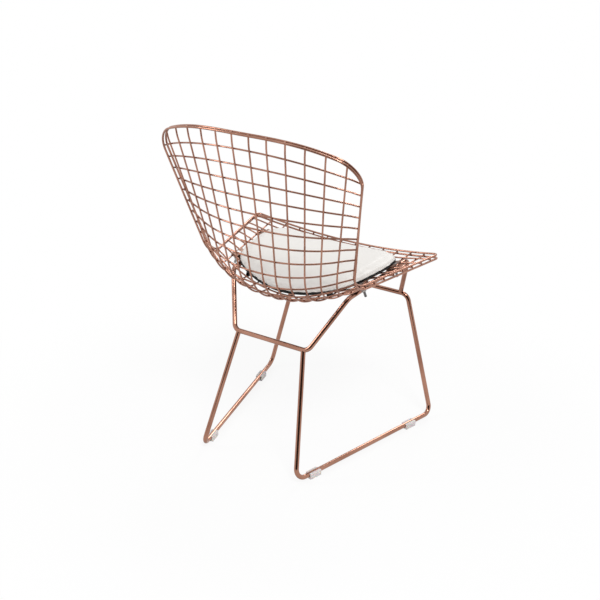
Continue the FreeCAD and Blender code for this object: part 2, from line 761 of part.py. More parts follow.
def main():
    os.makedirs("parts", exist_ok=True)
    for row in range(1, CROSS_WIRES + 1):
        save("cross_wire_%02d" % row, cross_wire(row))
    for number in range(1, LONG_WIRES_PER_SIDE + 1):
        wire = long_wire(number)
        save("long_wire_left_%d" % number, wire)
        save("long_wire_right_%d" % number, mirrored(wire))
    save("inner_rim_rod", rim_rod(RIM_HEIGHT))
    save("outer_rim_rod", rim_rod(-RIM_HEIGHT))
    frame = upper_frame_rod()
    sled = sled_rod()
    save("upper_frame_rod", coped(frame, sled, FRONT_BAR_Y - BASE_ROD_DIA, 0))
    save("sled_rod", coped(sled, frame, 0, RUNNER_REAR_Y))
    save("upper_clamp_plates", at_every_clamp(Clamp.upper_plate))
    save("rail_plates", at_every_clamp(Clamp.rail_plate))
    save("clamp_bolts", at_every_clamp(Clamp.bolt))
    save("clamp_washers", at_every_clamp(Clamp.washer))
    save("clamp_nuts", at_every_clamp(Clamp.nut))
    for place, y in (("rear", REAR_GLIDE_Y), ("front", FRONT_GLIDE_Y)):
        one = glide(y)
        save(place + "_left_glide", one)
        save(place + "_right_glide", mirrored(one))
    save("pad_board", pad_board())
    save("pad_cushion", pad_cushion())
    save("pad_straps", pad_straps())


main()
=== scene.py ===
"""Wire mesh chair: finishes the measured solids, models the soft seat pad and sets the studio."""

import logging
import math
from collections.abc import Sequence
from dataclasses import dataclass
from enum import Enum

import bmesh
import bpy
from mathutils import Matrix, Vector


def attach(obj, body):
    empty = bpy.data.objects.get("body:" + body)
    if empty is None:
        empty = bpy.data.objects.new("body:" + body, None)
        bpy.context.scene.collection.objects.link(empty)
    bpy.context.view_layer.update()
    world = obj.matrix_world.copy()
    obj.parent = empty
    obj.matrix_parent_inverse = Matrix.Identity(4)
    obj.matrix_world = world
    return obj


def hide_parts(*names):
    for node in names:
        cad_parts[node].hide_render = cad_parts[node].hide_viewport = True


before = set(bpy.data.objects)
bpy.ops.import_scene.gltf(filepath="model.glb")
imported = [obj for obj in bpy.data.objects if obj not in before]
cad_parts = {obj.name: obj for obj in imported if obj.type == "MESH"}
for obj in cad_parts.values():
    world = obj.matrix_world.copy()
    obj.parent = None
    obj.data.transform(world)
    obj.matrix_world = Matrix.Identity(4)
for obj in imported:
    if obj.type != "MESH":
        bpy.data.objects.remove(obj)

Colour = tuple[float, float, float]
Place = tuple[float, float, float]

LOG = logging.getLogger("wire_mesh_chair")
NODE_SPACING = 220.0
WHITE = (1.0, 1.0, 1.0, 1.0)


class SocketKind(Enum):
    """The kinds of socket that the shared shader groups use."""

    NUMBER = "NodeSocketFloat"
    VECTOR = "NodeSocketVector"


class Side(Enum):
    """The sitter's two sides, as the node names spell them."""

    LEFT = "left"
    RIGHT = "right"


class MixSocket(Enum):
    """Where a Mix node keeps its colour sockets, whose names its other kinds share."""

    SHARE = 0
    LOW = 6
    HIGH = 7
    RESULT = 2


class NodeBench:
    """A shader node tree with short calls for adding and joining nodes."""

    def __init__(self, tree: bpy.types.NodeTree) -> None:
        """Keeps the tree to work on.

        Args:
            tree: The node tree of a material, a world, a light or a group.
        """
        self.tree = tree
        self.column = 0

    def add(self, kind: str, values: dict[str, object] | None = None, **settings: object) -> bpy.types.Node:
        """Adds a node.

        Args:
            kind: Blender's name of the node type.
            values: Values for input sockets, by socket name.
            settings: Values for the node's own properties.

        Returns:
            The new node.
        """
        node = self.tree.nodes.new(kind)
        node.location = (NODE_SPACING * self.column, 0.0)
        self.column += 1
        for name, value in settings.items():
            setattr(node, name, value)
        for name, value in (values or {}).items():
            node.inputs[name].default_value = value
        return node

    def join(self, source: bpy.types.NodeSocket, target: bpy.types.NodeSocket) -> None:
        """Links an output socket to an input socket."""
        self.tree.links.new(source, target)

    def maths(self, operation: str, *operands: bpy.types.NodeSocket | float) -> bpy.types.NodeSocket:
        """Adds a Math node.

        Args:
            operation: The Math node's operation.
            operands: Sockets or plain numbers, in order.

        Returns:
            The node's output socket.
        """
        node = self.add("ShaderNodeMath", operation=operation)
        for index, operand in enumerate(operands):
            if isinstance(operand, (int, float)):
                node.inputs[index].default_value = operand
            else:
                self.join(operand, node.inputs[index])
        return node.outputs["Value"]

    def blend(
        self, share: bpy.types.NodeSocket, low: bpy.types.NodeSocket | Colour, high: Colour
    ) -> bpy.types.NodeSocket:
        """Adds a colour Mix node.

        Args:
            share: The socket that says how much of the second colour shows, from 0 to 1.
            low: The first colour, a socket or three numbers.
            high: The second colour, three numbers.

        Returns:
            The mixed colour's socket.
        """
        node = self.add("ShaderNodeMix", data_type="RGBA")
        self.join(share, node.inputs[MixSocket.SHARE.value])
        first = node.inputs[MixSocket.LOW.value]
        if isinstance(low, bpy.types.NodeSocket):
            self.join(low, first)
        else:
            first.default_value = (*low, 1.0)
        node.inputs[MixSocket.HIGH.value].default_value = (*high, 1.0)
        return node.outputs[MixSocket.RESULT.value]


class GroupBench(NodeBench):
    """A shared shader group, built once, with named inputs and outputs."""

    def __init__(self, name: str) -> None:
        """Makes an empty group.

        Args:
            name: The group's name, which says what effect it gives.
        """
        super().__init__(bpy.data.node_groups.new(name, "ShaderNodeTree"))
        self.entry = self.add("NodeGroupInput")
        self.exit = self.add("NodeGroupOutput")

    def take(self, name: str, kind: SocketKind, default: object = None) -> None:
        """Adds an input socket to the group.

        Args:
            name: The socket's name.
            kind: What the socket carries.
            default: The value it has when nothing is set.
        """
        socket = self.tree.interface.new_socket(name=name, in_out="INPUT", socket_type=kind.value)
        if default is not None:
            socket.default_value = default

    def give(self, name: str, source: bpy.types.NodeSocket) -> None:
        """Adds a number output to the group and feeds it.

        Args:
            name: The socket's name.
            source: The socket inside the group that feeds it.
        """
        kind = SocketKind.NUMBER.value
        self.tree.interface.new_socket(name=name, in_out="OUTPUT", socket_type=kind)
        self.join(source, self.exit.inputs[name])


@dataclass(frozen=True)
class ScratchLayer:
    """One direction of handling scratches: its turn in radians and how fine it is."""

    rotation: tuple[float, float, float]
    fineness: float


@dataclass(frozen=True)
class EffectSizes:
    """Sizes inside the shared shader groups, the same for every finish."""

    cloud_start: float = 0.33
    cloud_end: float = 0.67
    scratch_layers: tuple[ScratchLayer, ...] = (
        ScratchLayer((0.35, 0.21, 0.595), 14.0),
        ScratchLayer((1.25, 0.75, 2.125), 11.0),
    )
    scratch_start: float = 0.62
    scratch_end: float = 0.74
    sharp_edge: float = 0.62
    wear_start: float = 0.4
    wear_end: float = 0.6
    dust_slope: float = 0.35
    # painted shade on down-facing sides: how far down it reaches, its patch ends and its least share
    painted_shade_slope: float = 0.85
    painted_shade_start: float = 0.25
    painted_shade_end: float = 0.6
    least_painted_shade: float = 0.45
    wobble_scale: float = 320.0
    wobble_depth: float = 0.0012
    pebble_dome: float = 0.22
    pore_scale: float = 2600.0


class SharedEffects:
    """The shader groups that several finishes share."""

    def __init__(self, sizes: EffectSizes = EffectSizes()) -> None:
        """Builds every group once.

        Args:
            sizes: The sizes inside the groups.
        """
        self.sizes = sizes
        self.cloud = self._cloud()
        self.scratches = self._scratches()
        self.edge_wear = self._edge_wear()
        self.dust = self._dust()
        # painted shade on the sides that face down
        self.painted_shade = self._painted_shade()
        self.pores = self._pores()
        self.weave = self._weave()

    def _cloud(self) -> bpy.types.NodeTree:
        """Soft uneven patches, as polish, tint or plating thickness leaves them.

        Returns:
            A group that puts out a value between Low and High.
        """
        bench = GroupBench("cloudy_patches")
        bench.take("Vector", SocketKind.VECTOR)
        bench.take("Scale", SocketKind.NUMBER, 30.0)
        bench.take("Low", SocketKind.NUMBER, 0.0)
        bench.take("High", SocketKind.NUMBER, 1.0)
        noise = bench.add("ShaderNodeTexNoise", {"Detail": 3.0, "Roughness": 0.55})
        bench.join(bench.entry.outputs["Vector"], noise.inputs["Vector"])
        bench.join(bench.entry.outputs["Scale"], noise.inputs["Scale"])
        ends = {"From Min": self.sizes.cloud_start, "From Max": self.sizes.cloud_end}
        spread = bench.add("ShaderNodeMapRange", ends)
        bench.join(noise.outputs["Fac"], spread.inputs["Value"])
        bench.join(bench.entry.outputs["Low"], spread.inputs["To Min"])
        bench.join(bench.entry.outputs["High"], spread.inputs["To Max"])
        bench.give("Value", spread.outputs["Result"])
        return bench.tree

    def _scratches(self) -> bpy.types.NodeTree:
        """Hair-fine handling scratches that run several ways.

        Returns:
            A group that puts out a Mask and a Height.
        """
        bench = GroupBench("handling_scratches")
        bench.take("Vector", SocketKind.VECTOR)
        bench.take("Scale", SocketKind.NUMBER, 40.0)
        bench.take("Amount", SocketKind.NUMBER, 0.5)
        ends = {"From Min": self.sizes.scratch_start, "From Max": self.sizes.scratch_end}
        layers = []
        for layer in self.sizes.scratch_layers:
            mapping = bench.add("ShaderNodeMapping")
            mapping.inputs["Rotation"].default_value = layer.rotation
            mapping.inputs["Scale"].default_value = (1.0, layer.fineness, layer.fineness)
            bench.join(bench.entry.outputs["Vector"], mapping.inputs["Vector"])
            noise = bench.add("ShaderNodeTexNoise", {"Detail": 2.0, "Roughness": 0.6})
            bench.join(mapping.outputs["Vector"], noise.inputs["Vector"])
            bench.join(bench.entry.outputs["Scale"], noise.inputs["Scale"])
            line = bench.add("ShaderNodeMapRange", ends)
            bench.join(noise.outputs["Fac"], line.inputs["Value"])
            layers.append(line.outputs["Result"])
        both = bench.maths("MAXIMUM", *layers)
        mask = bench.maths("MULTIPLY", both, bench.entry.outputs["Amount"])
        bench.give("Mask", mask)
        bench.give("Height", bench.maths("MULTIPLY", mask, -1.0))
        return bench.tree

    def _edge_wear(self) -> bpy.types.NodeTree:
        """Rubbed outer edges, broken up so that no edge is worn evenly.

        Returns:
            A group that puts out a Mask.
        """
        bench = GroupBench("edge_wear")
        bench.take("Vector", SocketKind.VECTOR)
        bench.take("Start", SocketKind.NUMBER, 0.53)
        bench.take("Breakup Scale", SocketKind.NUMBER, 180.0)
        shape = bench.add("ShaderNodeNewGeometry")
        edge = bench.add("ShaderNodeMapRange", {"From Max": self.sizes.sharp_edge})
        bench.join(shape.outputs["Pointiness"], edge.inputs["Value"])
        bench.join(bench.entry.outputs["Start"], edge.inputs["From Min"])
        noise = bench.add("ShaderNodeTexNoise", {"Detail": 4.0})
        bench.join(bench.entry.outputs["Vector"], noise.inputs["Vector"])
        bench.join(bench.entry.outputs["Breakup Scale"], noise.inputs["Scale"])
        ends = {"From Min": self.sizes.wear_start, "From Max": self.sizes.wear_end}
        patches = bench.add("ShaderNodeMapRange", ends)
        bench.join(noise.outputs["Fac"], patches.inputs["Value"])
        bench.give("Mask", bench.maths("MULTIPLY", edge.outputs["Result"], patches.outputs["Result"]))
        return bench.tree

    def _dust(self) -> bpy.types.NodeTree:
        """A thin film of dust on surfaces that face upward.

        Returns:
            A group that puts out a Mask.
        """
        bench = GroupBench("settled_dust")
        bench.take("Vector", SocketKind.VECTOR)
        bench.take("Scale", SocketKind.NUMBER, 25.0)
        bench.take("Amount", SocketKind.NUMBER, 0.1)
        shape = bench.add("ShaderNodeNewGeometry")
        split = bench.add("ShaderNodeSeparateXYZ")
        bench.join(shape.outputs["Normal"], split.inputs["Vector"])
        upward = bench.add("ShaderNodeMapRange", {"From Min": self.sizes.dust_slope, "From Max": 1.0})
        bench.join(split.outputs["Z"], upward.inputs["Value"])
        noise = bench.add("ShaderNodeTexNoise", {"Detail": 6.0, "Roughness": 0.7})
        bench.join(bench.entry.outputs["Vector"], noise.inputs["Vector"])
        bench.join(bench.entry.outputs["Scale"], noise.inputs["Scale"])
        film = bench.maths("MULTIPLY", upward.outputs["Result"], noise.outputs["Fac"])
        bench.give("Mask", bench.maths("MULTIPLY", film, bench.entry.outputs["Amount"]))
        return bench.tree

    def _painted_shade(self) -> bpy.types.NodeTree:
        """Painted shade: darker plating colour on the sides that face down, broken into patches.

        Returns:
            A group that puts out a Mask.
        """
        bench = GroupBench("painted_underside_shade")
        bench.take("Vector", SocketKind.VECTOR)
        bench.take("Scale", SocketKind.NUMBER, 20.0)
        bench.take("Amount", SocketKind.NUMBER, 0.7)
        shape = bench.add("ShaderNodeNewGeometry")
        split = bench.add("ShaderNodeSeparateXYZ")
        bench.join(shape.outputs["Normal"], split.inputs["Vector"])
        # the painted shade grows as the surface faces further down
        facing_down = bench.maths("MULTIPLY", split.outputs["Z"], -1.0)
        ends = {"From Min": 0.0, "From Max": self.sizes.painted_shade_slope}
        downward = bench.add("ShaderNodeMapRange", ends, interpolation_type="SMOOTHSTEP")
        bench.join(facing_down, downward.inputs["Value"])
        noise = bench.add("ShaderNodeTexNoise", {"Detail": 4.0, "Roughness": 0.6})
        bench.join(bench.entry.outputs["Vector"], noise.inputs["Vector"])
        bench.join(bench.entry.outputs["Scale"], noise.inputs["Scale"])
        patches = bench.add("ShaderNodeMapRange", {
            "From Min": self.sizes.painted_shade_start,
            "From Max": self.sizes.painted_shade_end,
            "To Min": self.sizes.least_painted_shade,
        })
        bench.join(noise.outputs["Fac"], patches.inputs["Value"])
        film = bench.maths("MULTIPLY", downward.outputs["Result"], patches.outputs["Result"])
        bench.give("Mask", bench.maths("MULTIPLY", film, bench.entry.outputs["Amount"]))
        return bench.tree

    def _pores(self) -> bpy.types.NodeTree:
        """Pebbled grain with finer pores between, for leatherette and rough moulded faces.

        Returns:
            A group that puts out a Height and a Mask of the valleys.
        """
        bench = GroupBench("pebble_grain")
        bench.take("Vector", SocketKind.VECTOR)
        bench.take("Pebbles per Metre", SocketKind.NUMBER, 900.0)
        bench.take("Pore Share", SocketKind.NUMBER, 0.3)
        wobble = bench.add("ShaderNodeTexNoise", {"Scale": self.sizes.wobble_scale, "Detail": 2.0})
        bench.join(bench.entry.outputs["Vector"], wobble.inputs["Vector"])
        nudge = bench.add("ShaderNodeVectorMath", operation="SCALE")
        nudge.inputs["Scale"].default_value = self.sizes.wobble_depth
        bench.join(wobble.outputs["Color"], nudge.inputs[0])
        moved = bench.add("ShaderNodeVectorMath", operation="ADD")
        bench.join(bench.entry.outputs["Vector"], moved.inputs[0])
        bench.join(nudge.outputs["Vector"], moved.inputs[1])
        pebble = bench.add("ShaderNodeTexVoronoi", feature="DISTANCE_TO_EDGE")
        bench.join(moved.outputs["Vector"], pebble.inputs["Vector"])
        bench.join(bench.entry.outputs["Pebbles per Metre"], pebble.inputs["Scale"])
        ends = {"From Max": self.sizes.pebble_dome}
        dome = bench.add("ShaderNodeMapRange", ends, interpolation_type="SMOOTHSTEP")
        bench.join(pebble.outputs["Distance"], dome.inputs["Value"])
        pores = bench.add("ShaderNodeTexNoise", {"Scale": self.sizes.pore_scale, "Detail": 1.0})
        bench.join(bench.entry.outputs["Vector"], pores.inputs["Vector"])
        fine = bench.maths("MULTIPLY", pores.outputs["Fac"], bench.entry.outputs["Pore Share"])
        bench.give("Height", bench.maths("ADD", dome.outputs["Result"], fine))
        bench.give("Valleys", bench.maths("SUBTRACT", 1.0, dome.outputs["Result"]))
        return bench.tree

    @staticmethod
    def _weave() -> bpy.types.NodeTree:
        """Crossing threads of a narrow webbing or backing cloth.

        Returns:
            A group that puts out a Height and a Mask of the gaps.
        """
        bench = GroupBench("plain_weave")
        bench.take("Vector", SocketKind.VECTOR)
        bench.take("Threads per Metre", SocketKind.NUMBER, 900.0)
        split = bench.add("ShaderNodeSeparateXYZ")
        bench.join(bench.entry.outputs["Vector"], split.inputs["Vector"])
        threads = []
        for axis, other in (("X", "Y"), ("Y", "Z"), ("Z", "X")):
            pitch = bench.maths("MULTIPLY", bench.entry.outputs["Threads per Metre"], math.pi)
            run = bench.maths("SINE", bench.maths("MULTIPLY", split.outputs[axis], pitch))
            cross = bench.maths("SINE", bench.maths("MULTIPLY", split.outputs[other], pitch))
            threads.append(bench.maths("ABSOLUTE", bench.maths("MULTIPLY", run, cross)))
        height = bench.maths("MAXIMUM", bench.maths("MAXIMUM", threads[0], threads[1]), threads[2])
        bench.give("Height", height)
        bench.give("Gaps", bench.maths("SUBTRACT", 1.0, height))
        return bench.tree


class FinishBench(NodeBench):
    """A material with its Principled shader, ready for a finish to fill in."""

    def __init__(self, name: str) -> None:
        """Makes the material.

        Args:
            name: The material's name.
        """
        self.material = bpy.data.materials.new(name)
        self.material.use_nodes = True
        super().__init__(self.material.node_tree)
        self.shader = self.tree.nodes["Principled BSDF"]
        self.place = self.add("ShaderNodeTexCoord").outputs["Object"]

    def effect(self, tree: bpy.types.NodeTree, **values: float) -> bpy.types.Node:
        """Places a shared group in the material.

        Args:
            tree: The group's node tree.
            values: Its input values, with underscores for the spaces in their names.

        Returns:
            The group node.
        """
        node = self.add("ShaderNodeGroup")
        node.node_tree = tree
        self.join(self.place, node.inputs["Vector"])
        for name, value in values.items():
            node.inputs[name.replace("_", " ")].default_value = value
        return node

    def bump(self, height: bpy.types.NodeSocket, distance: float, strength: float) -> None:
        """Feeds a height through a Bump node into the shader's normal.

        Args:
            height: The height's socket.
            distance: How deep full height is, in metres.
            strength: How strongly it shows, from 0 to 1.
        """
        node = self.add("ShaderNodeBump", {"Distance": distance, "Strength": strength})
        self.join(height, node.inputs["Height"])
        self.join(node.outputs["Normal"], self.shader.inputs["Normal"])

    def constant(self, **values: float) -> None:
        """Sets plain values on the shader, with underscores for the spaces in their names."""
        for name, value in values.items():
            self.shader.inputs[name.replace("_", " ")].default_value = value


@dataclass(frozen=True)
class PlatedCopper:
    """Copper plating over drawn steel: bright, a little uneven, duller in patches, with painted shade on
    the sides that face down.
    """

    bright: Colour = (0.47, 0.245, 0.175)
    deep: Colour = (0.24, 0.105, 0.068)
    # painted shade: the dark colour and its amount laid on the down-facing sides
    painted_shade_colour: Colour = (0.10, 0.043, 0.027)
    painted_shade: float = 0.75
    polish_low: float = 0.11
    polish_high: float = 0.2
    patch_scale: float = 22.0
    dust_colour: Colour = (0.62, 0.52, 0.46)
    rubbed_roughness: float = 0.12
    scratch_depth: float = 0.00003

    def material(self, name: str, effects: SharedEffects) -> bpy.types.Material:
        """Builds the material.

        Args:
            name: The material's name.
            effects: The shared shader groups.

        Returns:
            The finished material.
        """
        bench = FinishBench(name)
        tint = bench.effect(effects.cloud, Scale=self.patch_scale, Low=0.0, High=0.7)
        # mask of the painted shade on the down-facing sides
        painted_shade = bench.effect(effects.painted_shade, Scale=self.patch_scale, Amount=self.painted_shade)
        scratches = bench.effect(effects.scratches, Scale=55.0, Amount=0.5)
        dust = bench.effect(effects.dust, Scale=60.0, Amount=0.05)
        plating = bench.blend(tint.outputs["Value"], self.bright, self.deep)
        # lays the painted shade colour over the plating
        base = bench.blend(painted_shade.outputs["Mask"], plating, self.painted_shade_colour)
        dusty = bench.blend(dust.outputs["Mask"], base, self.dust_colour)
        bench.join(dusty, bench.shader.inputs["Base Color"])
        polish = bench.effect(effects.cloud, Scale=70.0, Low=self.polish_low, High=self.polish_high)
        rubbed = bench.maths("MULTIPLY", scratches.outputs["Mask"], self.rubbed_roughness)
        roughness = bench.maths("ADD", polish.outputs["Value"], rubbed)
        bench.join(roughness, bench.shader.inputs["Roughness"])
        bench.bump(scratches.outputs["Height"], distance=self.scratch_depth, strength=0.35)
        bench.constant(Metallic=1.0)
        return bench.material


@dataclass(frozen=True)
class CoatedSteel:
    """Steel with a thin dark coat that has rubbed through along its edges."""

    coat: Colour = (0.12, 0.060, 0.042)
    least_metal: float = 0.75
    bare: Colour = (0.42, 0.24, 0.17)
    roughness: float = 0.42
    smoother: float = 0.08
    rougher: float = 0.1
    dust_colour: Colour = (0.30, 0.28, 0.26)
    grain_depth: float = 0.00004

    def material(self, name: str, effects: SharedEffects) -> bpy.types.Material:
        """Builds the material.

        Args:
            name: The material's name.
            effects: The shared shader groups.

        Returns:
            The finished material.
        """
        bench = FinishBench(name)
        worn = bench.effect(effects.edge_wear, Start=0.53, Breakup_Scale=260.0)
        dust = bench.effect(effects.dust, Scale=90.0, Amount=0.04)
        coat = bench.blend(worn.outputs["Mask"], self.coat, self.bare)
        dusty = bench.blend(dust.outputs["Mask"], coat, self.dust_colour)
        bench.join(dusty, bench.shader.inputs["Base Color"])
        metal = bench.maths("MAXIMUM", worn.outputs["Mask"], self.least_metal)
        bench.join(metal, bench.shader.inputs["Metallic"])
        low = self.roughness - self.smoother
        high = self.roughness + self.rougher
        gloss = bench.effect(effects.cloud, Scale=120.0, Low=low, High=high)
        bench.join(gloss.outputs["Value"], bench.shader.inputs["Roughness"])
        grain = bench.effect(effects.pores, Pebbles_per_Metre=1800.0, Pore_Share=0.6)
        bench.bump(grain.outputs["Height"], distance=self.grain_depth, strength=0.3)
        return bench.material


@dataclass(frozen=True)
class ZincSteel:
    """Dull zinc plating on small fasteners."""

    colour: Colour = (0.34, 0.33, 0.33)
    dark: Colour = (0.14, 0.135, 0.135)
    rubbed: Colour = (0.62, 0.60, 0.57)
    scratch_depth: float = 0.00004

    def material(self, name: str, effects: SharedEffects) -> bpy.types.Material:
        """Builds the material.

        Args:
            name: The material's name.
            effects: The shared shader groups.

        Returns:
            The finished material.
        """
        bench = FinishBench(name)
        spangle = bench.effect(effects.cloud, Scale=420.0, Low=0.0, High=0.8)
        worn = bench.effect(effects.edge_wear, Start=0.54, Breakup_Scale=320.0)
        plate = bench.blend(spangle.outputs["Value"], self.colour, self.dark)
        rubbed = bench.blend(worn.outputs["Mask"], plate, self.rubbed)
        bench.join(rubbed, bench.shader.inputs["Base Color"])
        gloss = bench.effect(effects.cloud, Scale=260.0, Low=0.3, High=0.48)
        bench.join(gloss.outputs["Value"], bench.shader.inputs["Roughness"])
        scratches = bench.effect(effects.scratches, Scale=140.0, Amount=0.7)
        bench.bump(scratches.outputs["Height"], distance=self.scratch_depth, strength=0.4)
        bench.constant(Metallic=1.0)
        return bench.material


@dataclass(frozen=True)
class MilkyPlastic:
    """Soft translucent white plastic, scuffed where it meets the floor."""

    colour: Colour = (0.82, 0.76, 0.75)
    cloudy: Colour = (0.68, 0.62, 0.61)
    scuffed: Colour = (0.42, 0.38, 0.36)
    scuff_share: float = 0.5
    scratch_depth: float = 0.00005

    def material(self, name: str, effects: SharedEffects) -> bpy.types.Material:
        """Builds the material.

        Args:
            name: The material's name.
            effects: The shared shader groups.

        Returns:
            The finished material.
        """
        bench = FinishBench(name)
        patches = bench.effect(effects.cloud, Scale=160.0, Low=0.0, High=0.8)
        worn = bench.effect(effects.edge_wear, Start=0.52, Breakup_Scale=300.0)
        scratches = bench.effect(effects.scratches, Scale=120.0, Amount=0.6)
        base = bench.blend(patches.outputs["Value"], self.colour, self.cloudy)
        scuffs = bench.maths("MULTIPLY", worn.outputs["Mask"], self.scuff_share)
        bench.join(bench.blend(scuffs, base, self.scuffed), bench.shader.inputs["Base Color"])
        gloss = bench.effect(effects.cloud, Scale=200.0, Low=0.3, High=0.45)
        bench.join(gloss.outputs["Value"], bench.shader.inputs["Roughness"])
        bench.bump(scratches.outputs["Height"], distance=self.scratch_depth, strength=0.4)
        bench.constant(Subsurface_Weight=0.25, Subsurface_Scale=0.004)
        return bench.material


@dataclass(frozen=True)
class Leatherette:
    """Smooth off-white leatherette with a fine pebble grain."""

    colour: Colour = (0.83, 0.81, 0.78)
    valley: Colour = (0.74, 0.72, 0.685)
    stained: Colour = (0.76, 0.73, 0.69)
    pebbles_per_metre: float = 750.0
    valley_share: float = 0.35
    grain_depth: float = 0.00012

    def material(self, name: str, effects: SharedEffects) -> bpy.types.Material:
        """Builds the material.

        Args:
            name: The material's name.
            effects: The shared shader groups.

        Returns:
            The finished material.
        """
        bench = FinishBench(name)
        grain = bench.effect(effects.pores, Pebbles_per_Metre=self.pebbles_per_metre, Pore_Share=0.25)
        stain = bench.effect(effects.cloud, Scale=9.0, Low=0.0, High=0.12)
        valley = bench.maths("MULTIPLY", grain.outputs["Valleys"], self.valley_share)
        base = bench.blend(valley, self.colour, self.valley)
        stained = bench.blend(stain.outputs["Value"], base, self.stained)
        bench.join(stained, bench.shader.inputs["Base Color"])
        gloss = bench.effect(effects.cloud, Scale=40.0, Low=0.42, High=0.52)
        bench.join(gloss.outputs["Value"], bench.shader.inputs["Roughness"])
        bench.bump(grain.outputs["Height"], distance=self.grain_depth, strength=0.35)
        bench.constant(Sheen_Weight=0.05, Specular_IOR_Level=0.4)
        return bench.material


@dataclass(frozen=True)
class BlackCloth:
    """Black woven cloth, for the pad's webbing and for its backing."""

    colour: Colour = (0.008, 0.008, 0.0085)
    worn: Colour = (0.03, 0.029, 0.028)
    dust: float = 0.05
    threads_per_metre: float = 850.0
    gap: Colour = (0.006, 0.006, 0.006)
    dust_colour: Colour = (0.25, 0.24, 0.22)
    thread_depth: float = 0.0002

    def material(self, name: str, effects: SharedEffects) -> bpy.types.Material:
        """Builds the material.

        Args:
            name: The material's name.
            effects: The shared shader groups.

        Returns:
            The finished material.
        """
        bench = FinishBench(name)
        weave = bench.effect(effects.weave, Threads_per_Metre=self.threads_per_metre)
        fade = bench.effect(effects.cloud, Scale=50.0, Low=0.0, High=0.35)
        dust = bench.effect(effects.dust, Scale=80.0, Amount=self.dust)
        base = bench.blend(fade.outputs["Value"], self.colour, self.worn)
        threads = bench.blend(weave.outputs["Gaps"], base, self.gap)
        dusty = bench.blend(dust.outputs["Mask"], threads, self.dust_colour)
        bench.join(dusty, bench.shader.inputs["Base Color"])
        gloss = bench.effect(effects.cloud, Scale=90.0, Low=0.75, High=0.9)
        bench.join(gloss.outputs["Value"], bench.shader.inputs["Roughness"])
        bench.bump(weave.outputs["Height"], distance=self.thread_depth, strength=0.6)
        return bench.material


def dress(nodes: Sequence[str], material: bpy.types.Material) -> None:
    """Gives CAD nodes a finish.

    Args:
        nodes: The nodes' names.
        material: The finish for all their faces.
    """
    for name in nodes:
        mesh = bpy.data.objects[name].data
        mesh.materials.clear()
        mesh.materials.append(material)
        LOG.info("%s finished with %s", name, material.name)


@dataclass
class WireShell:
    """The welded mesh of the back and seat with its two rim rods."""

    cross_wires: int = 20
    long_wires_per_side: int = 6
    wire_finish: PlatedCopper = PlatedCopper()
    rim_finish: PlatedCopper = PlatedCopper(patch_scale=14.0)

    def wire_nodes(self) -> list[str]:
        """The names of all wires of the mesh."""
        across = [f"cross_wire_{row:02d}" for row in range(1, self.cross_wires + 1)]
        numbers = range(1, self.long_wires_per_side + 1)
        along = [f"long_wire_{side.value}_{number}" for side in Side for number in numbers]
        return across + along

    def build(self, effects: SharedEffects) -> None:
        """Finishes the wires and the rim.

        Args:
            effects: The shared shader groups.
        """
        dress(self.wire_nodes(), self.wire_finish.material("copper_mesh_wire", effects))
        dress(["inner_rim_rod", "outer_rim_rod"], self.rim_finish.material("copper_rim_rod", effects))


@dataclass
class RodBase:
    """The bent rod base with the plastic glides on its runners."""

    rod_finish: PlatedCopper = PlatedCopper(polish_low=0.07, polish_high=0.14, patch_scale=9.0)
    glide_finish: MilkyPlastic = MilkyPlastic()

    def build(self, effects: SharedEffects) -> None:
        """Finishes the rods and the glides.

        Args:
            effects: The shared shader groups.
        """
        dress(["sled_rod", "upper_frame_rod"], self.rod_finish.material("copper_base_rod", effects))
        glides = [f"{end}_{side.value}_glide" for end in ("rear", "front") for side in Side]
        dress(glides, self.glide_finish.material("milky_glide_plastic", effects))


@dataclass
class SeatClamps:
    """The plates and bolts that hold the mesh to the seat rails."""

    plate_finish: CoatedSteel = CoatedSteel()
    bolt_finish: ZincSteel = ZincSteel()

    def build(self, effects: SharedEffects) -> None:
        """Finishes plates and fasteners.

        Args:
            effects: The shared shader groups.
        """
        plates = self.plate_finish.material("coated_clamp_plate", effects)
        dress(["upper_clamp_plates", "rail_plates"], plates)
        bolts = self.bolt_finish.material("zinc_fasteners", effects)
        dress(["clamp_bolts", "clamp_washers", "clamp_nuts"], bolts)


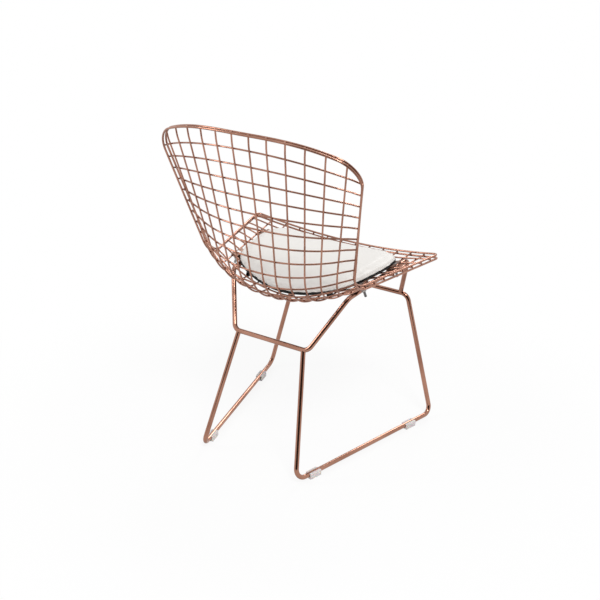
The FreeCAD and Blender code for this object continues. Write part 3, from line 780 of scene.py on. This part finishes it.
@dataclass
class SeatPad:
    """The foam pad under its leatherette cover, with its backing board and straps."""

    node: str = "pad_cushion"
    voxel: float = 0.004
    pressure: float = 4.0
    frames: int = 20
    start_inset: float = 0.0015
    swell_limit: float = 0.004
    stiffness: float = 25.0
    solver_quality: int = 5
    held_below: float = -0.35
    hold_fade: float = 0.5
    cover: Leatherette = Leatherette()
    backing: BlackCloth = BlackCloth(colour=(0.004, 0.004, 0.004), worn=(0.012, 0.012, 0.012), dust=0.01)
    webbing: BlackCloth = BlackCloth()

    def _cover_mesh(self) -> bpy.types.Object:
        """Copies the pad's solid and remeshes it evenly.

        Returns:
            The new cushion object.
        """
        mesh = bpy.data.objects[self.node].data.copy()
        cushion = bpy.data.objects.new("seat_cushion", mesh)
        bpy.context.scene.collection.objects.link(cushion)
        remesh = cushion.modifiers.new("even_faces", "REMESH")
        remesh.mode = "VOXEL"
        remesh.voxel_size = self.voxel
        remesh.use_smooth_shade = True
        self._apply(cushion)
        return cushion

    @staticmethod
    def _apply(cushion: bpy.types.Object) -> None:
        """Replaces the object's mesh with its modified form and drops the modifiers.

        Args:
            cushion: The object to change.
        """
        graph = bpy.context.evaluated_depsgraph_get()
        made = bpy.data.meshes.new_from_object(cushion.evaluated_get(graph), depsgraph=graph)
        cushion.modifiers.clear()
        cushion.data = made

    def _inflate(self, cushion: bpy.types.Object) -> None:
        """Swells the cover with the cloth solver, holding the underside on its board.

        Args:
            cushion: The evenly meshed cover.
        """
        mesh = cushion.data
        start = [vertex.co.copy() for vertex in mesh.vertices]
        normals = [vertex.normal.copy() for vertex in mesh.vertices]
        for vertex, normal in zip(mesh.vertices, normals):
            vertex.co -= normal * self.start_inset
        cloth = cushion.modifiers.new("cover", "CLOTH")
        cloth.settings.use_pressure = True
        cloth.settings.uniform_pressure_force = self.pressure
        cloth.settings.effector_weights.gravity = 0.0
        cloth.settings.quality = self.solver_quality
        cloth.settings.tension_stiffness = self.stiffness
        cloth.settings.compression_stiffness = self.stiffness
        cloth.point_cache.frame_start = 1
        cloth.point_cache.frame_end = self.frames
        for step in range(1, self.frames + 1):
            bpy.context.scene.frame_set(step)
        self._apply(cushion)
        bpy.context.scene.frame_set(1)
        for vertex, home, normal in zip(cushion.data.vertices, start, normals):
            move = vertex.co - home
            if move.length > self.swell_limit:
                move *= self.swell_limit / move.length
            share = min(max((normal.z - self.held_below) / self.hold_fade, 0.0), 1.0)
            vertex.co = home + move * share

    def build(self, effects: SharedEffects) -> None:
        """Makes the cushion, stands it in for its solid and finishes board and straps.

        Args:
            effects: The shared shader groups.
        """
        cushion = self._cover_mesh()
        self._inflate(cushion)
        smooth = cushion.modifiers.new("soft_faces", "SUBSURF")
        smooth.levels = 1
        smooth.render_levels = 1
        cushion.data.materials.clear()
        cushion.data.materials.append(self.cover.material("off_white_leatherette", effects))
        for face in cushion.data.polygons:
            face.use_smooth = True
        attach(cushion, "root")
        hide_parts(self.node)
        LOG.info("seat_cushion made with %d faces", len(cushion.data.polygons))
        dress(["pad_board"], self.backing.material("black_backing", effects))
        dress(["pad_straps"], self.webbing.material("black_webbing", effects))


@dataclass(frozen=True)
class SoftLamp:
    """One square lamp panel: its place in metres, its side in metres and its power in watts."""

    name: str
    place: Place
    side: float
    power: float


@dataclass
class Studio:
    """A white floor, soft lamps and the camera at the photograph's place."""

    camera_place: Place = (-1.2036, 1.8117, 1.3176)
    camera_right: Place = (-0.83213, -0.55459, 0.0)
    camera_up: Place = (0.22912, -0.34379, 0.91067)
    focal_length: float = 62.73
    sensor_width: float = 36.0
    floor_size: float = 16.0
    floor_gap: float = 0.0004
    floor_colour: Colour = (0.93, 0.93, 0.93)
    floor_roughness: float = 0.8
    world_light: float = 0.5
    shadow_share: float = 0.12
    shadow_reach: float = 0.45
    shadow_end: float = 0.95
    flag_distance: float = 2.5
    flag_height: float = 3.4
    flag_width: float = 5.0
    felt_colour: Colour = (0.07, 0.06, 0.055)
    lamp_target: Place = (0.0, 0.0, 0.4)
    clip_start: float = 0.01
    clip_end: float = 100.0
    lamps: tuple[SoftLamp, ...] = (
        SoftLamp("key_panel", (-1.6, 1.2, 3.2), 0.9, 52.0),
        SoftLamp("fill_panel", (2.6, 1.8, 2.2), 0.9, 24.0),
        SoftLamp("front_panel", (0.6, -2.8, 2.4), 0.9, 22.0),
    )

    @staticmethod
    def _white_rays(bench: NodeBench) -> bpy.types.NodeSocket:
        """Adds the test for rays that should meet the white background.

        Args:
            bench: The node tree to add it to.

        Returns:
            A socket that is 1 for camera, glossy and transmission rays.
        """
        path = bench.add("ShaderNodeLightPath")
        seen = bench.maths("MAXIMUM", path.outputs["Is Camera Ray"], path.outputs["Is Glossy Ray"])
        return bench.maths("MAXIMUM", seen, path.outputs["Is Transmission Ray"])

    def _floor(self) -> None:
        """Makes the floor, white to the camera but still shaded under the chair."""
        mesh = bpy.data.meshes.new("studio_floor")
        shape = bmesh.new()
        bmesh.ops.create_grid(shape, x_segments=1, y_segments=1, size=self.floor_size / 2)
        shape.to_mesh(mesh)
        shape.free()
        floor = bpy.data.objects.new("studio_floor", mesh)
        floor.location.z = -self.floor_gap
        bpy.context.scene.collection.objects.link(floor)
        material = bpy.data.materials.new("white_floor")
        material.use_nodes = True
        bench = NodeBench(material.node_tree)
        shader = bench.tree.nodes["Principled BSDF"]
        shader.inputs["Base Color"].default_value = (*self.floor_colour, 1.0)
        shader.inputs["Roughness"].default_value = self.floor_roughness
        shader.inputs["Specular IOR Level"].default_value = 0.0
        glow = bench.add("ShaderNodeEmission", {"Strength": 1.0})
        glow.inputs["Color"].default_value = WHITE
        spot = bench.add("ShaderNodeTexCoord").outputs["Object"]
        distance = bench.add("ShaderNodeVectorMath", operation="LENGTH")
        bench.join(spot, distance.inputs[0])
        ends = {
            "From Min": self.shadow_reach,
            "From Max": self.shadow_end,
            "To Min": 1.0 - self.shadow_share,
        }
        fade = bench.add("ShaderNodeMapRange", ends, interpolation_type="SMOOTHSTEP")
        bench.join(distance.outputs["Value"], fade.inputs["Value"])
        share = bench.maths("MULTIPLY", self._white_rays(bench), fade.outputs["Result"])
        mix = bench.add("ShaderNodeMixShader")
        share_socket, shaded_socket, glow_socket = mix.inputs
        bench.join(share, share_socket)
        bench.join(shader.outputs["BSDF"], shaded_socket)
        bench.join(glow.outputs["Emission"], glow_socket)
        bench.join(mix.outputs["Shader"], bench.tree.nodes["Material Output"].inputs["Surface"])
        mesh.materials.append(material)
        LOG.info("studio_floor made")

    def _world(self) -> None:
        """Sets an even white surround that lights the chair gently."""
        world = bpy.data.worlds.new("white_surround")
        bpy.context.scene.world = world
        world.use_nodes = True
        bench = NodeBench(world.node_tree)
        surround = bench.tree.nodes["Background"]
        surround.inputs["Color"].default_value = WHITE
        rest = bench.maths("SUBTRACT", 1.0, self._white_rays(bench))
        dimmed = bench.maths("MULTIPLY", rest, 1.0 - self.world_light)
        bench.join(bench.maths("SUBTRACT", 1.0, dimmed), surround.inputs["Strength"])

    def _flag(self) -> None:
        """Sets a dark panel behind the camera that only polished metal mirrors."""
        away = Vector((self.camera_place[0], self.camera_place[1], 0.0)).normalized()
        across = Vector((-away.y, away.x, 0.0)) * (self.flag_width / 2)
        foot = away * self.flag_distance
        top = foot + Vector((0.0, 0.0, self.flag_height))
        mesh = bpy.data.meshes.new("wall_flag")
        mesh.from_pydata([foot - across, foot + across, top + across, top - across], [], [(0, 1, 2, 3)])
        mesh.materials.append(self._black_felt())
        flag = bpy.data.objects.new("wall_flag", mesh)
        flag.visible_camera = False
        flag.visible_diffuse = False
        flag.visible_transmission = False
        flag.visible_shadow = False
        bpy.context.scene.collection.objects.link(flag)
        LOG.info("wall_flag made")

    def _black_felt(self) -> bpy.types.Material:
        """Makes the matt dark face of the flag.

        Returns:
            The material.
        """
        material = bpy.data.materials.new("black_felt")
        material.use_nodes = True
        shader = material.node_tree.nodes["Principled BSDF"]
        shader.inputs["Base Color"].default_value = (*self.felt_colour, 1.0)
        shader.inputs["Roughness"].default_value = 1.0
        shader.inputs["Specular IOR Level"].default_value = 0.0
        return material

    def _hang(self, lamp: SoftLamp) -> None:
        """Hangs one soft lamp and points it at the seat.

        Args:
            lamp: The lamp to hang.
        """
        data = bpy.data.lights.new(lamp.name, "AREA")
        data.shape = "SQUARE"
        data.size = lamp.side
        data.energy = lamp.power
        panel = bpy.data.objects.new(lamp.name, data)
        panel.location = lamp.place
        towards = Vector(self.lamp_target) - panel.location
        panel.rotation_euler = towards.to_track_quat("-Z", "Y").to_euler()
        bpy.context.scene.collection.objects.link(panel)

    def _camera(self) -> None:
        """Stands the camera where the photograph was taken."""
        data = bpy.data.cameras.new("photo_camera")
        data.lens = self.focal_length
        data.sensor_width = self.sensor_width
        data.clip_start = self.clip_start
        data.clip_end = self.clip_end
        camera = bpy.data.objects.new("photo_camera", data)
        right = Vector(self.camera_right).normalized()
        up = Vector(self.camera_up).normalized()
        turn = Matrix((right, up, right.cross(up))).transposed()
        camera.matrix_world = Matrix.Translation(self.camera_place) @ turn.to_4x4()
        bpy.context.scene.collection.objects.link(camera)
        bpy.context.scene.camera = camera

    def build(self) -> None:
        """Sets up floor, surround, flag, lamps and camera."""
        bpy.context.scene.view_settings.view_transform = "Standard"
        self._floor()
        self._world()
        self._flag()
        for lamp in self.lamps:
            self._hang(lamp)
        self._camera()


def main() -> None:
    """Builds the chair in order: shell, base, clamps, pad and studio."""
    logging.basicConfig(level=logging.INFO, format="%(message)s")
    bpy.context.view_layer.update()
    effects = SharedEffects()
    for assembly in (WireShell(), RodBase(), SeatClamps(), SeatPad()):
        assembly.build(effects)
    Studio().build()


if __name__ == "__main__":
    main()
